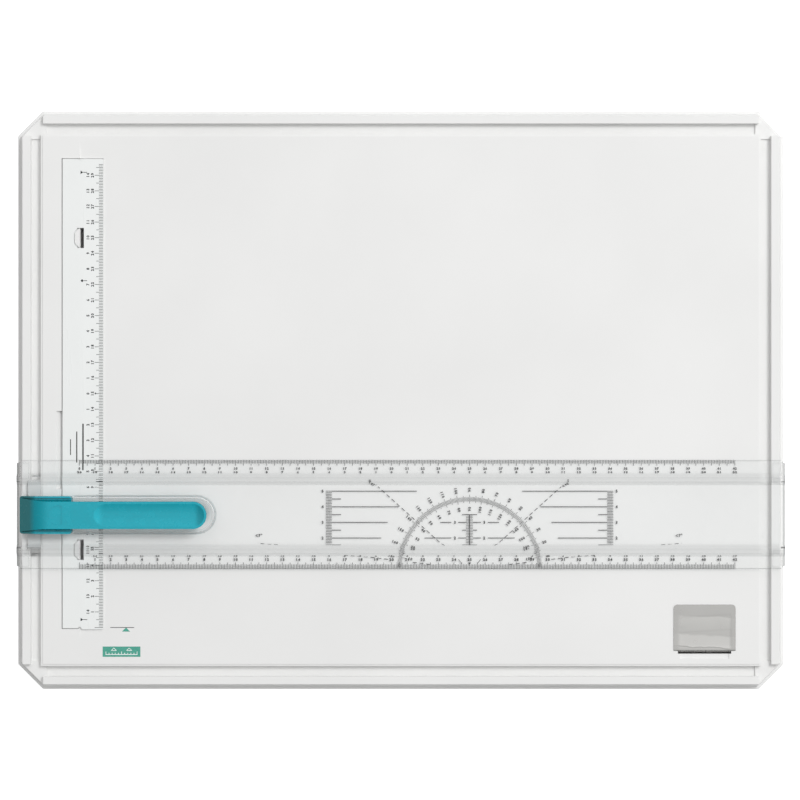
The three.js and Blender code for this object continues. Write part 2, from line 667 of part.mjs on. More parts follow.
function leverHead() {
  const [y0, y1] = [RULER_Y - HEAD_HALF_WIDTH, RULER_Y + HEAD_HALF_WIDTH];
  const plan = roundedRectangle([LEVER_LEFT_X, HEAD_RIGHT_X], [y0, y1], 1.6);
  const side = [
    [LEVER_LEFT_X, HEAD_BOTTOM], [HEAD_RIGHT_X, HEAD_BOTTOM], [HEAD_RIGHT_X, LEVER_TOP],
    ...[...BEAK].reverse(),
  ];
  const block = sweepY(side, y0, y1).intersect(prism(plan, HEAD_BOTTOM - 1, LEVER_TOP + 1));
  // Between the bar's sloping sides and the thin side rims runs a narrow channel that follows the beak.
  const aboveFloor = sweepY(
    [...BEAK.map(([x, z]) => [x, Math.min(z - CHANNEL_DEPTH, CHANNEL_FLOOR)]),
      [HEAD_RIGHT_X + 1, CHANNEL_FLOOR], [HEAD_RIGHT_X + 1, LEVER_TOP + 2], [LEVER_LEFT_X, LEVER_TOP + 2]],
    y0,
    y1,
  );
  const channels = [-1, 1].map((s) => {
    const section = [[RIM_INNER_V, HEAD_BOTTOM + 0.6], [ARM_HALF_WIDTH, LEVER_TOP],
      [ARM_HALF_WIDTH, LEVER_TOP + 1], [RIM_INNER_V, LEVER_TOP + 1]];
    const placed = section.map(([v, z]) => [RULER_Y + s * v, z]);
    const trench = sweepX(s > 0 ? placed.reverse() : placed, LEVER_LEFT_X + 1.2, HEAD_RIGHT_X + 1);
    return trench.intersect(aboveFloor);
  });
  const rimTrims = [-1, 1].map((s) => {
    const y = [RULER_Y + s * (RIM_INNER_V - 0.1), RULER_Y + s * 13].sort((a, b) => a - b);
    const line = BEAK.map(([x, z]) => [x, Math.min(z, HEAD_RIM_TOP)]);
    const right = HEAD_RIGHT_X + 1;
    const top = LEVER_TOP + 2;
    return sweepY([...line, [right, HEAD_RIM_TOP], [right, top], [LEVER_LEFT_X, top]], ...y);
  });
  const spotFloor = LEVER_TOP - THUMB_SPOT_DEPTH;
  const thumbSpot = disc(THUMB_SPOT_R, THUMB_SPOT_X, RULER_Y, spotFloor, LEVER_TOP + 1, 48);
  return cut(block, ...channels, ...rimTrims, thumbSpot);
}

// A flat bar with a round end and a long finger dish, hollowed like a bowl, in its top.
function leverArm() {
  const plan = tongue(HEAD_RIGHT_X - 6, ARM_END_X, RULER_Y, ARM_HALF_WIDTH, 32);
  const stadium = (radius) => {
    const halfRound = tongue(0, 0, 0, radius, 24).slice(1, -1);
    return [
      ...halfRound.map(([x, y]) => [ARM_END_X + x, RULER_Y + y]),
      ...halfRound.map(([x, y]) => [DISH_START_X - x, RULER_Y - y]),
    ];
  };
  const rings = 6;
  const bowl = Array.from({ length: rings }, (_, i) => {
    const reach = (i + 1) / rings;
    return [stadium(DISH_R * reach), LEVER_TOP - DISH_DEPTH * (1 - reach ** 2)];
  });
  const mouth = prism(stadium(DISH_R), LEVER_TOP, LEVER_TOP + 1);
  return cut(prism(plan, ARM_BOTTOM, LEVER_TOP), loft(...bowl), mouth);
}

function lever() {
  const foot = box(
    BRAKE_X,
    [RULER_Y - BRAKE_HALF_WIDTH, RULER_Y + BRAKE_HALF_WIDTH],
    [RAIL_TOP + 2, HEAD_BOTTOM + 0.5],
  );
  const earPockets = EAR_V.map((v) =>
    box(
      [PIVOT_X - 3.2, PIVOT_X + 4],
      [RULER_Y + v - 1.3, RULER_Y + v + 1.3],
      [HEAD_BOTTOM - 1, PIVOT_Z + 2.8],
    ),
  );
  const pinHole = barY(PIN_R + 0.08, PIVOT_X, PIVOT_Z, RULER_Y - 13, RULER_Y + 13);
  return cut(join(leverHead(), leverArm(), foot), ...earPockets, pinHole);
}

function brakePad() {
  return box(
    [BRAKE_X[0] + 0.1, BRAKE_X[1] - 0.1],
    [RULER_Y - BRAKE_HALF_WIDTH + 0.2, RULER_Y + BRAKE_HALF_WIDTH - 0.2],
    [RAIL_TOP + GAP, RAIL_TOP + 1.9],
  );
}

// Round wire wound into a short compression spring.
class Helix extends THREE.Curve {
  constructor(radius, z0, z1, turns) {
    super();
    Object.assign(this, { radius, z0, z1, turns });
  }

  getPoint(t, target = new THREE.Vector3()) {
    const angle = 2 * Math.PI * this.turns * t;
    const z = this.z0 + (this.z1 - this.z0) * t;
    return target.set(this.radius * Math.cos(angle), this.radius * Math.sin(angle), z);
  }
}

function leverSpring() {
  const wire = 0.35;
  const turns = 3.5;
  const path = new Helix(2.6, RULER_TOP + GAP + wire, ARM_BOTTOM - GAP - wire, turns);
  const section = new THREE.Shape();
  section.absarc(0, 0, wire, 0, 2 * Math.PI);
  const geometry = new THREE.ExtrudeGeometry(section, {
    steps: 56,
    curveSegments: 4,
    extrudePath: path,
    bevelEnabled: false,
  });
  geometry.translate(LEVER_SPRING_X, RULER_Y, 0);
  return solid(geometry);
}

// ---------------------------------------------------------------- assembly

const PLASTIC_WHITE = { color: 0xe9e9e8, roughness: 0.38, metalness: 0 };
const RAIL_WHITE = { color: 0xe7eae9, roughness: 0.3, metalness: 0 };
const COVER_WHITE = { color: 0xdcdcda, roughness: 0.5, metalness: 0 };
const CLEAR = { color: 0xf2f5f5, roughness: 0.06, metalness: 0, transparent: true, opacity: 0.35 };
const SHOE = { color: 0xcfd2d2, roughness: 0.35, metalness: 0 };
const TEAL = { color: 0x28a0b0, roughness: 0.35, metalness: 0 };
const STEEL = { color: 0xb9b7b5, roughness: 0.3, metalness: 1 };
const SPRING_STEEL = { color: 0x9a9a98, roughness: 0.35, metalness: 1 };
const RUBBER = { color: 0x3a3b3c, roughness: 0.85, metalness: 0 };

const group = new THREE.Group();

function place(name, manifold, finish) {
  const mesh = new THREE.Mesh(geometryOf(manifold), new THREE.MeshStandardMaterial(finish));
  mesh.name = name;
  group.add(mesh);
}

place("top_shell", topShell(), PLASTIC_WHITE);
place("back_cover", backCover(), COVER_WHITE);
screwPlaces().forEach(([x, y], i) => place(`cover_screw_${i + 1}`, coverScrew(x, y), SPRING_STEEL));
footPlaces().forEach(([x, y], i) => place(`rubber_foot_${i + 1}`, rubberFoot(x, y), RUBBER));
place("paper_clamp_rail", paperClampRail(), RAIL_WHITE);
place("clamp_leaf_spring_upper", clampLeafSpring(LEAF_SPRING_Y[0]), SPRING_STEEL);
place("clamp_leaf_spring_lower", clampLeafSpring(LEAF_SPRING_Y[1]), SPRING_STEEL);
place("corner_clip", cornerClip(), STEEL);
place("ruler_body", rulerBody(), CLEAR);
place("guide_shoe", guideShoe(), SHOE);
place("lever", lever(), TEAL);
place("lever_pivot_pin", barY(PIN_R, PIVOT_X, PIVOT_Z, RULER_Y - 11.8, RULER_Y + 11.8, 20), SPRING_STEEL);
place("lever_spring", leverSpring(), SPRING_STEEL);
place("brake_pad", brakePad(), RUBBER);

export default group;
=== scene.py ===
# A portable A3 drawing board: looks, prints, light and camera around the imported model.
import math

import bmesh
import bpy
from mathutils import Matrix, Vector


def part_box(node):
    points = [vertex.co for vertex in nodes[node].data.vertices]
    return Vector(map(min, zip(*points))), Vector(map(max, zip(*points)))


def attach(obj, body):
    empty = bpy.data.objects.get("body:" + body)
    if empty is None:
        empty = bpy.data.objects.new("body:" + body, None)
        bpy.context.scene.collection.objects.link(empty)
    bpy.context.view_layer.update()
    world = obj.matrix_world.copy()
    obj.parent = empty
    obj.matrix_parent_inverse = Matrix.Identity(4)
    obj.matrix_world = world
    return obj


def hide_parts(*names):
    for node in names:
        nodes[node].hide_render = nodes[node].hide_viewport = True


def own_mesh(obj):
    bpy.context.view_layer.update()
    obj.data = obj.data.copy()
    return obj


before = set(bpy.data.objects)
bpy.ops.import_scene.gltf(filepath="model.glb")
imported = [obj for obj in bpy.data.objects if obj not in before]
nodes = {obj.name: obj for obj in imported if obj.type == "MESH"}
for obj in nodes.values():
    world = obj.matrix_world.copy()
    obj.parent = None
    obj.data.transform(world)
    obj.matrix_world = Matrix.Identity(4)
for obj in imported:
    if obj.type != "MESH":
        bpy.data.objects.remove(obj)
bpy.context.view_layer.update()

MM = 0.001


def box_mm(node):
    """A CAD node's lowest and highest corner, in millimetres."""
    low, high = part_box(node)
    return low / MM, high / MM


ruler_low, ruler_high = box_mm("ruler_body")
clamp_low, clamp_high = box_mm("paper_clamp_rail")
clip_low, clip_high = box_mm("corner_clip")
spring_low, spring_high = box_mm("lever_spring")
pin_low, pin_high = box_mm("lever_pivot_pin")

# Places worked out from these boxes, in millimetres.
CLIP_LEFT, CLIP_RIGHT = clip_low.x, clip_high.x
CLIP_FRONT, CLIP_BACK = clip_high.y, clip_low.y
CLIP_MIDDLE = (CLIP_LEFT + CLIP_RIGHT) / 2
CLIP_HALF = (CLIP_RIGHT - CLIP_LEFT) / 2
RULER_Y = (ruler_low.y + ruler_high.y) / 2  # the ruler's middle line
RULER_HALF = (ruler_high.y - ruler_low.y) / 2  # half its width

# Heights and places the CAD's boxes don't give, in millimetres.
SURFACE = 16.5  # the drawing surface
RULER_BOTTOM = 17.6  # the ruler's underside, which carries its print
RIB_CROWN = (21.2, 22.2)  # heights between which a rib's crown begins
SHEET_LEFT = -206.0  # left edge of an A3 sheet, the zero of both scales on the ruler
SHEET_LOW = -145.9  # its lower edge, the zero of the clamp rail's scale
SHEET_WIDTH = 420
SHEET_HEIGHT = 297
SLOT_X = -217.4  # middle of the deep slot along the clamp rail's far half
SLOT_REACH = 1.3  # how far to either side of it counts as slot
SLOT_END_Y = -7  # where it gets shallow
BEAK = (-237.2, -233.5)  # where along X the lever's sloping beak ends
SHOULDER = (-233.5, -223.5)  # and the shoulder beside it
DISH = (-199.0, -198.0)  # and where its finger dish begins
INK = 0.02  # thickness of a printed line
LIFT = 0.005  # ink stands this far off what it is printed on

# Painted shade on the clear ruler: shares by which parts of its colour are darkened. Steep faces also
# pass less lamp light, which casts shade under them.
STEEP_SHADE = 0.34
RIB_PAINTED_SHADE = 0.13  # painted shade on a rib's flat crown
END_PAINTED_SHADE = 0.3  # painted shade at the two ends
EDGE_PAINTED_SHADE = 0.13  # painted shade along the upper long edge; the lower one is painted twice as dark
SHADE_TINT = (0, 0.02, 0.02)  # the colour that painted shade, and lamp light through steep faces, darken towards

# Painted reflections and shade on the clip, in bands: a place along its sheet, 0 at the front edge and 1
# at the back, and the tone there.
CLIP_PAINTED_BANDS = (
    (0.21, 0.8),
    (0.24, 0.93),
    (0.6, 0.83),
    (0.64, 0.98),
    (0.865, 1),
    (0.882, 0.6),
    (0.9, 0.87),
    (1.0, 0.85),
)
CLIP_SIDE_PAINTED_SHADE = 0.78  # painted shade along its two sides


# ---------------------------------------------------------------- materials


class Nodes:
    """Short calls for building one material's node tree."""

    def __init__(self, name):
        self.material = bpy.data.materials.new(name)
        self.material.use_nodes = True
        self.tree = self.material.node_tree
        self.shader = self.tree.nodes["Principled BSDF"]
        self.output = self.tree.nodes["Material Output"]
        self.place = self.add("ShaderNodeTexCoord").outputs["Object"]

    def add(self, kind, **inputs):
        node = self.tree.nodes.new(kind)
        for key, value in inputs.items():
            node.inputs[key.replace("_", " ")].default_value = value
        return node

    def link(self, source, target):
        self.tree.links.new(source, target)

    def feed(self, value, socket):
        """Links another node's output, or sets a number or a colour."""
        if isinstance(value, bpy.types.NodeSocket):
            self.link(value, socket)
        elif isinstance(value, tuple):
            socket.default_value = (*value, 1)
        else:
            socket.default_value = value

    def noise(self, scale, detail=3.0, stretch=(1, 1, 1)):
        texture = self.add("ShaderNodeTexNoise", Scale=scale, Detail=detail)
        mapping = self.add("ShaderNodeMapping")
        mapping.inputs["Scale"].default_value = stretch
        self.link(self.place, mapping.inputs["Vector"])
        self.link(mapping.outputs["Vector"], texture.inputs["Vector"])
        return texture.outputs["Fac"]

    def spread(self, value, low, high, start=0.3, end=0.7):
        """Runs from low to high while a value goes from start to end, by default a noise's usual span."""
        node = self.add("ShaderNodeMapRange")
        node.inputs["From Min"].default_value = start
        node.inputs["From Max"].default_value = end
        node.inputs["To Min"].default_value = low
        node.inputs["To Max"].default_value = high
        self.link(value, node.inputs["Value"])
        return node.outputs["Result"]

    def fade(self, place, low, high, span):
        """Runs from low to high while a place, in metres, crosses a span given in millimetres."""
        return self.spread(place, low, high, span[0] * MM, span[1] * MM)

    def split(self, vector):
        """The X, Y and Z of a vector."""
        node = self.add("ShaderNodeSeparateXYZ")
        self.link(vector, node.inputs["Vector"])
        return node.outputs["X"], node.outputs["Y"], node.outputs["Z"]

    def facing(self):
        """The X, Y and Z of the direction a surface looks in."""
        return self.split(self.add("ShaderNodeNewGeometry").outputs["Normal"])

    def blend(self, factor, first, second):
        node = self.add("ShaderNodeMix")
        node.data_type = "RGBA"
        self.feed(first, node.inputs["A"])
        self.feed(second, node.inputs["B"])
        self.link(factor, node.inputs["Factor"])
        return node.outputs["Result"]

    def math(self, operation, *values):
        node = self.add("ShaderNodeMath")
        node.operation = operation
        for socket, value in zip(node.inputs, values):
            self.feed(value, socket)
        return node.outputs[0]

    def away(self, value, middle):
        """How far a value is from a middle, to either side."""
        return self.math("ABSOLUTE", self.math("SUBTRACT", value, middle))

    def bump(self, height, depth, strength):
        node = self.add("ShaderNodeBump", Strength=strength, Distance=depth)
        self.link(height, node.inputs["Height"])
        self.link(node.outputs["Normal"], self.shader.inputs["Normal"])


def linear(red, green, blue):
    """An 8-bit sRGB colour as linear values."""
    return tuple(
        c / 12.92 if c <= 0.04045 else ((c + 0.055) / 1.055) ** 2.4
        for c in (red / 255, green / 255, blue / 255)
    )


def shaded(colour, factor):
    return tuple(c * factor for c in colour)


def slot_mask(n):
    """Where shade is painted: 1 in the deep slot along the clamp rail's far half, 0 on the rest of the
    board.
    """
    x, y, z = n.split(n.place)
    near = n.math("LESS_THAN", n.away(x, SLOT_X * MM), SLOT_REACH * MM)
    deep = n.fade(z, 1, 0, (SURFACE - 1.0, SURFACE - 0.4))
    middle_y = (SLOT_END_Y + clamp_high.y) / 2
    half_length = clamp_high.y - middle_y + 0.5
    inside = n.math("LESS_THAN", n.away(y, middle_y * MM), half_length * MM)
    return n.math("MULTIPLY", n.math("MULTIPLY", near, deep), inside)


def moulded(name, colour, roughness, grain=1400, depth=0.00002, mottle=0.03, slot_shade=1.0):
    """Moulded plastic: fine grain, slow tone drift, and light handling scuffs in the gloss.

    A slot_shade below 1 also paints shade into the deep slot beside the clamp rail, darkening its colour
    there.
    """
    n = Nodes(name)
    drift = n.spread(n.noise(9, 4), 0, 1)
    tone = n.blend(drift, shaded(colour, 1 - mottle), shaded(colour, 1 + mottle / 2))
    if slot_shade < 1:
        # painted shade in the deep slot
        tone = n.blend(slot_mask(n), tone, shaded(colour, slot_shade))
    n.link(tone, n.shader.inputs["Base Color"])
    scuffs = n.spread(n.noise(160, 6, (1, 0.12, 1)), roughness - 0.05, roughness + 0.05)
    n.link(scuffs, n.shader.inputs["Roughness"])
    n.bump(n.noise(grain, 2), depth, 0.35)
    n.shader.inputs["IOR"].default_value = 1.5
    return n.material


def lever_plastic(name, colour, beak_shade, roughness):
    """Satin plastic with painted shade: darker on steep sides, a darker, duller teal on the beak and a
    darker shoulder beside it, and painted light and shade across the finger dish.
    """
    n = Nodes(name)
    x = n.split(n.place)[0]
    facing_x, _, facing_z = n.facing()
    cloud = n.spread(n.noise(220, 4), 0, 1)
    plain = n.blend(cloud, shaded(colour, 0.97), shaded(colour, 1.03))
    # painted shade on the shoulder beside the beak
    plain = n.blend(n.fade(x, 1, 0, SHOULDER), plain, shaded(colour, 0.78))
    # painted light and shade in the finger dish: lighter on slopes facing +X, darker on those facing -X
    lean = n.spread(facing_x, 0, 1, -0.22, 0.22)
    dish_shading = n.blend(lean, shaded(colour, 0.76), shaded(colour, 1.14))
    tilted = n.spread(n.math("ABSOLUTE", facing_x), 0, 1, 0.04, 0.2)
    dished = n.blend(n.math("MULTIPLY", tilted, n.fade(x, 0, 1, DISH)), plain, dish_shading)
    # painted shade and dark reflection on the beak
    sloped = n.blend(n.math("MULTIPLY", n.fade(x, 1, 0, BEAK), 0.85), dished, beak_shade)
    # painted shade on steep sides
    side = n.spread(n.math("ABSOLUTE", facing_z), 0.55, 0, 0.3, 0.9)
    n.link(n.blend(side, sloped, shaded(colour, 0.3)), n.shader.inputs["Base Color"])
    n.link(n.spread(cloud, roughness - 0.03, roughness + 0.03), n.shader.inputs["Roughness"])
    n.bump(n.noise(1400, 2), 0.00001, 0.2)
    return n.material


def steel(name, colour, roughness):
    """Bright rolled sheet metal: smooth, with faint clouding in its polish."""
    n = Nodes(name)
    n.shader.inputs["Metallic"].default_value = 1.0
    cloud = n.noise(55, 3, (1, 0.6, 1))
    n.link(
        n.blend(n.spread(cloud, 0, 1), shaded(colour, 0.96), shaded(colour, 1.03)),
        n.shader.inputs["Base Color"],
    )
    n.link(n.spread(cloud, roughness - 0.05, roughness + 0.05), n.shader.inputs["Roughness"])
    n.bump(n.noise(1200, 2), 0.000005, 0.2)
    return n.material


def clip_sheet(name, colour, roughness):
    """The clip's sheet: bright steel with painted reflections and shade, in bands of slightly different
    tone along it and darker along its sides.
    """
    n = Nodes(name)
    n.shader.inputs["Metallic"].default_value = 1.0
    x, y, _ = n.split(n.place)
    slant = n.fade(x, 0, 0.002, (CLIP_LEFT, CLIP_RIGHT))
    waver = n.spread(n.noise(110, 2), -0.0006, 0.0006)
    along = n.math("ADD", n.math("ADD", y, slant), waver)
    # painted reflections and shade in bands along the sheet
    tones = n.add("ShaderNodeValToRGB")
    n.link(n.fade(along, 0, 1, (CLIP_FRONT, CLIP_BACK)), tones.inputs["Fac"])
    stops = tones.color_ramp.elements
    first, *between, last = CLIP_PAINTED_BANDS
    for stop, (position, tone) in zip(stops, (first, last)):
        stop.position = position
        stop.color = (tone, tone, tone, 1)
    for position, tone in between:
        stops.new(position).color = (tone, tone, tone, 1)
    # painted shade along the two sides
    out = n.away(x, CLIP_MIDDLE * MM)
    at_side = n.fade(out, 0, 0.8, (CLIP_HALF - 4.4, CLIP_HALF - 2.4))
    toned = n.blend(at_side, tones.outputs["Color"], (CLIP_SIDE_PAINTED_SHADE,) * 3)
    tinted = n.add("ShaderNodeMix", Factor=1.0)
    tinted.data_type = "RGBA"
    tinted.blend_type = "MULTIPLY"
    n.feed(toned, tinted.inputs["A"])
    n.feed(colour, tinted.inputs["B"])
    n.link(tinted.outputs["Result"], n.shader.inputs["Base Color"])
    n.link(n.spread(n.noise(70, 3), roughness - 0.04, roughness + 0.04), n.shader.inputs["Roughness"])
    n.bump(n.noise(1200, 2), 0.000005, 0.2)
    return n.material


def clear_plastic(name):
    """Clear moulded styrene that bends and mirrors light, and lets lamps through to what lies under it.

    Shade is painted into its colour on steep faces, most on those that look towards -Y, on the
    ribs' crowns, at the two ends and along both long edges. Steep faces also pass less lamp light.
    """
    n = Nodes(name)
    n.shader.inputs["Transmission Weight"].default_value = 1.0
    n.shader.inputs["IOR"].default_value = 1.4
    n.link(n.spread(n.noise(60, 5), 0.0, 0.01), n.shader.inputs["Roughness"])
    x, y, z = n.split(n.place)
    _, facing_y, facing_z = n.facing()
    level = n.math("ABSOLUTE", facing_z)
    # painted shade on steep faces, darkest on those that look towards -Y
    turned = n.spread(facing_y, 1.15, 0.0, -0.5, 0.5)
    steep = n.math("MULTIPLY", n.spread(level, STEEP_SHADE, 0, 0.55, 1), turned)
    flat = n.spread(level, 0, 1, 0.85, 0.98)
    # painted shade on the ribs' flat crowns
    crown = n.math("MULTIPLY", flat, n.fade(z, 0, RIB_PAINTED_SHADE, RIB_CROWN))
    # painted shade: dark lines at the two ends
    end = n.fade(n.math("ABSOLUTE", x), 0, END_PAINTED_SHADE, (ruler_high.x - 1.7, ruler_high.x - 1.5))
    # painted shade along both long edges, twice as dark along the lower one
    across = n.math("SUBTRACT", y, RULER_Y * MM)
    near, brim = RULER_HALF - 1.0, RULER_HALF - 0.7
    upper = n.fade(across, 0, EDGE_PAINTED_SHADE, (near, brim))
    lower = n.fade(across, 0, 2 * EDGE_PAINTED_SHADE, (-near, -brim))
    outline = n.math("MAXIMUM", end, n.math("ADD", upper, lower))
    # all painted shade, darkening the clear colour; the window below passes less lamp light through steep
    # faces
    painted_shade = n.math("ADD", n.math("ADD", steep, crown), outline)
    n.link(n.blend(painted_shade, (1, 1, 1), SHADE_TINT), n.shader.inputs["Base Color"])
    window = n.add("ShaderNodeBsdfTransparent")
    n.link(n.blend(steep, (0.99, 0.995, 0.995), SHADE_TINT), window.inputs["Color"])
    path = n.add("ShaderNodeLightPath")
    lamp_or_bounce = n.math("MAXIMUM", path.outputs["Is Shadow Ray"], path.outputs["Is Diffuse Ray"])
    choose = n.add("ShaderNodeMixShader")
    n.link(lamp_or_bounce, choose.inputs[0])
    n.link(n.shader.outputs[0], choose.inputs[1])
    n.link(window.outputs[0], choose.inputs[2])
    n.link(choose.outputs[0], n.output.inputs["Surface"])
    return n.material


def ink(name, colour):
    n = Nodes(name)
    n.link(
        n.blend(n.spread(n.noise(900, 3), 0, 1), colour, shaded(colour, 1.25)),
        n.shader.inputs["Base Color"],
    )
    n.link(n.spread(n.noise(300, 2), 0.4, 0.55), n.shader.inputs["Roughness"])
    return n.material


# slot_shade paints shade into the deep slot beside the clamp rail
BOARD = moulded("board_plastic", linear(238, 238, 237), 0.42, slot_shade=0.45)
COVER = moulded("cover_plastic", linear(226, 226, 224), 0.55, grain=900, depth=0.00004)
RAIL = moulded("rail_plastic", linear(240, 242, 241), 0.3, depth=0.00001)
# the shoe's grey is partly its own colour and partly painted shade, for the shadows that fall on it
SHOE = moulded("shoe_plastic", linear(208, 210, 210), 0.4)
# the second colour is painted shade and dark reflection for the beak
TEAL = lever_plastic("teal_plastic", linear(8, 164, 181), linear(52, 112, 114), 0.25)
RUBBER = moulded("black_rubber", linear(48, 49, 50), 0.8, grain=700, depth=0.00006)
CLIP_STEEL = clip_sheet("clip_steel", linear(218, 217, 214), 0.24)
SPRING_STEEL = steel("spring_steel", linear(176, 176, 174), 0.32)
SCREW_STEEL = steel("screw_steel", linear(190, 190, 188), 0.3)
CLEAR = clear_plastic("clear_plastic")
DARK_INK = ink("dark_ink", linear(36, 38, 40))
GREEN_INK = ink("green_ink", linear(74, 156, 138))
WHITE_INK = ink("white_ink", linear(232, 238, 236))


# ---------------------------------------------------------------- mesh helpers

MERGE = 2e-6  # corners closer than this, in metres, are one
FLAT_ANGLE = 0.6  # faces that meet at less than this, in degrees, are one
ROUNDED_FROM = 25  # edges that turn by more than this, in degrees, get rounded
NEAR_AXIS = 0.05  # a lathed profile starts and ends this far from its axis, in millimetres

def piece(name, mesh, material, body, slot_name, *stands_for):
    """A finished mesh as a piece of the object."""
    obj = bpy.data.objects.new(name, mesh)
    bpy.context.scene.collection.objects.link(obj)
    mesh.materials.clear()
    mesh.materials.append(material)
    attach(obj, body)
    if stands_for:
        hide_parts(*stands_for)
    return obj


def mesh_from(name, bm, smooth_angle=35):
    mesh = bpy.data.meshes.new(name)
    bm.to_mesh(mesh)
    bm.free()
    mesh.shade_smooth()
    mesh.set_sharp_from_angle(angle=math.radians(smooth_angle))
    return mesh


def clean_copy(node):
    """A CAD node's solid with its shared corners merged and its flat faces whole."""
    bm = bmesh.new()
    bm.from_mesh(nodes[node].data)
    bmesh.ops.remove_doubles(bm, verts=bm.verts, dist=MERGE)
    bmesh.ops.dissolve_limit(
        bm, angle_limit=math.radians(FLAT_ANGLE), verts=bm.verts, edges=bm.edges
    )
    return bm


def split_slanted_walls(bm):
    """Triangles for the notched walls across the corners, whose long outlines don't round well."""
    slanted = 0.4  # least size of the direction's X and of its Y
    notched = [
        face
        for face in bm.faces
        if len(face.verts) > 4 and min(abs(face.normal.x), abs(face.normal.y)) > slanted
    ]
    bmesh.ops.triangulate(bm, faces=notched)


def final_mesh(obj):
    """An object's shape with its modifiers in it, as a new mesh."""
    bpy.context.view_layer.update()
    return bpy.data.meshes.new_from_object(
        obj.evaluated_get(bpy.context.evaluated_depsgraph_get())
    )


def refined(node, material, body, slot_name, radius, segments=2, smooth_angle=35):
    """A CAD node rebuilt with rounded edges; the radius is in millimetres, the angle in degrees."""
    bm = clean_copy(node)
    split_slanted_walls(bm)
    mesh = mesh_from(node + "_skin", bm, smooth_angle)
    obj = piece(node + "_skin", mesh, material, body, slot_name, node)
    bevel = obj.modifiers.new("edges", "BEVEL")
    bevel.width = radius * MM
    bevel.segments = segments
    bevel.limit_method = "ANGLE"
    bevel.angle_limit = math.radians(ROUNDED_FROM)
    bevel.harden_normals = True
    bevel.use_clamp_overlap = True
    flat_first = obj.modifiers.new("flat_first", "WEIGHTED_NORMAL")
    flat_first.keep_sharp = True


def closed_rings(bm, rings):
    """Skins closed rings of equally many points, one after another, and caps both ends."""
    loops = [[bm.verts.new(Vector(p) * MM) for p in ring] for ring in rings]
    for lower, upper in zip(loops, loops[1:]):
        for i in range(len(lower)):
            j = (i + 1) % len(lower)
            bm.faces.new((lower[i], lower[j], upper[j], upper[i]))
    bm.faces.new(loops[0][::-1])
    bm.faces.new(loops[-1])


def lathe(profile, sides=48):
    """A round solid about the Z axis from (radius, z) points that start and end near the axis."""
    bm = bmesh.new()
    rings = [
        [
            (r * math.cos(2 * math.pi * i / sides), r * math.sin(2 * math.pi * i / sides), z)
            for i in range(sides)
        ]
        for r, z in profile
    ]
    closed_rings(bm, rings)
    return bm


def tube(path, radius, sides=12):
    """A round wire with closed ends along a list of points."""
    rings = []
    side = Vector((0, 0, 1))
    for i, point in enumerate(path):
        ahead = (path[min(i + 1, len(path) - 1)] - path[max(i - 1, 0)]).normalized()
        side = (side - ahead * side.dot(ahead)).normalized()
        other = ahead.cross(side)
        rings.append(
            [
                point + radius * (math.cos(a) * side + math.sin(a) * other)
                for a in (2 * math.pi * k / sides for k in range(sides))
            ]
        )
    bm = bmesh.new()
    closed_rings(bm, rings)
    return bm


def cut_with(obj, cutter_bm):
    """Cuts a closed shape out of an object for good."""
    mesh = bpy.data.meshes.new("cutter")
    cutter_bm.to_mesh(mesh)
    cutter_bm.free()
    cutter = bpy.data.objects.new("cutter", mesh)
    bpy.context.scene.collection.objects.link(cutter)
    modifier = obj.modifiers.new("cut", "BOOLEAN")
    modifier.operation = "DIFFERENCE"
    modifier.object = cutter
    modifier.solver = "EXACT"
    result = final_mesh(obj)
    obj.modifiers.clear()
    obj.data = result
    bpy.data.objects.remove(cutter)
    bpy.data.meshes.remove(mesh)


# ---------------------------------------------------------------- pieces from the CAD solids

refined("top_shell", BOARD, "board", "board_white", radius=0.35, segments=3)
refined("back_cover", COVER, "board", "cover_white", radius=0.3)
refined("paper_clamp_rail", RAIL, "clamp_rail", "rail_white", radius=0.2)
refined("ruler_body", CLEAR, "ruler", "clear_plastic", radius=0.3, segments=3)
refined("guide_shoe", SHOE, "ruler", "shoe_plastic", radius=0.3)
refined("lever", TEAL, "lever", "lever_teal", radius=0.45, segments=4, smooth_angle=16)
refined("brake_pad", RUBBER, "lever", "rubber", radius=0.2)

for node, obj in nodes.items():
    if node.startswith("clamp_leaf"):
        obj.data.materials.clear()
        obj.data.materials.append(SPRING_STEEL)


# ---------------------------------------------------------------- small parts


def middle_of(node):
    low, high = box_mm(node)
    return (low + high) / 2, low, high


def rubber_feet():
    """Round feet with a shallow cup in the sole and a rounded rim."""
    rim_r = 0.7
    cup_r, cup_depth = 3.9, 0.6
    for node in sorted(n for n in nodes if n.startswith("rubber_foot")):
        centre, low, high = middle_of(node)
        r = high.x - centre.x
        quarter = [i * math.pi / 12 for i in range(7)]
        rim = [(r - rim_r + rim_r * math.sin(a), low.z + rim_r - rim_r * math.cos(a)) for a in quarter]
        cup = [
            (cup_r - 0.7 * math.sin(a), low.z + cup_depth - cup_depth * math.cos(a))
            for a in reversed(quarter)
        ]
        cup_z = low.z + cup_depth
        profile = [(NEAR_AXIS, cup_z), *cup, *rim, (r, high.z), (NEAR_AXIS, high.z)]
        mesh = mesh_from(node + "_skin", lathe(profile, 64), 40)
        foot = piece(node + "_skin", mesh, RUBBER, "board", "rubber", node)
        foot.location = (centre.x * MM, centre.y * MM, 0)


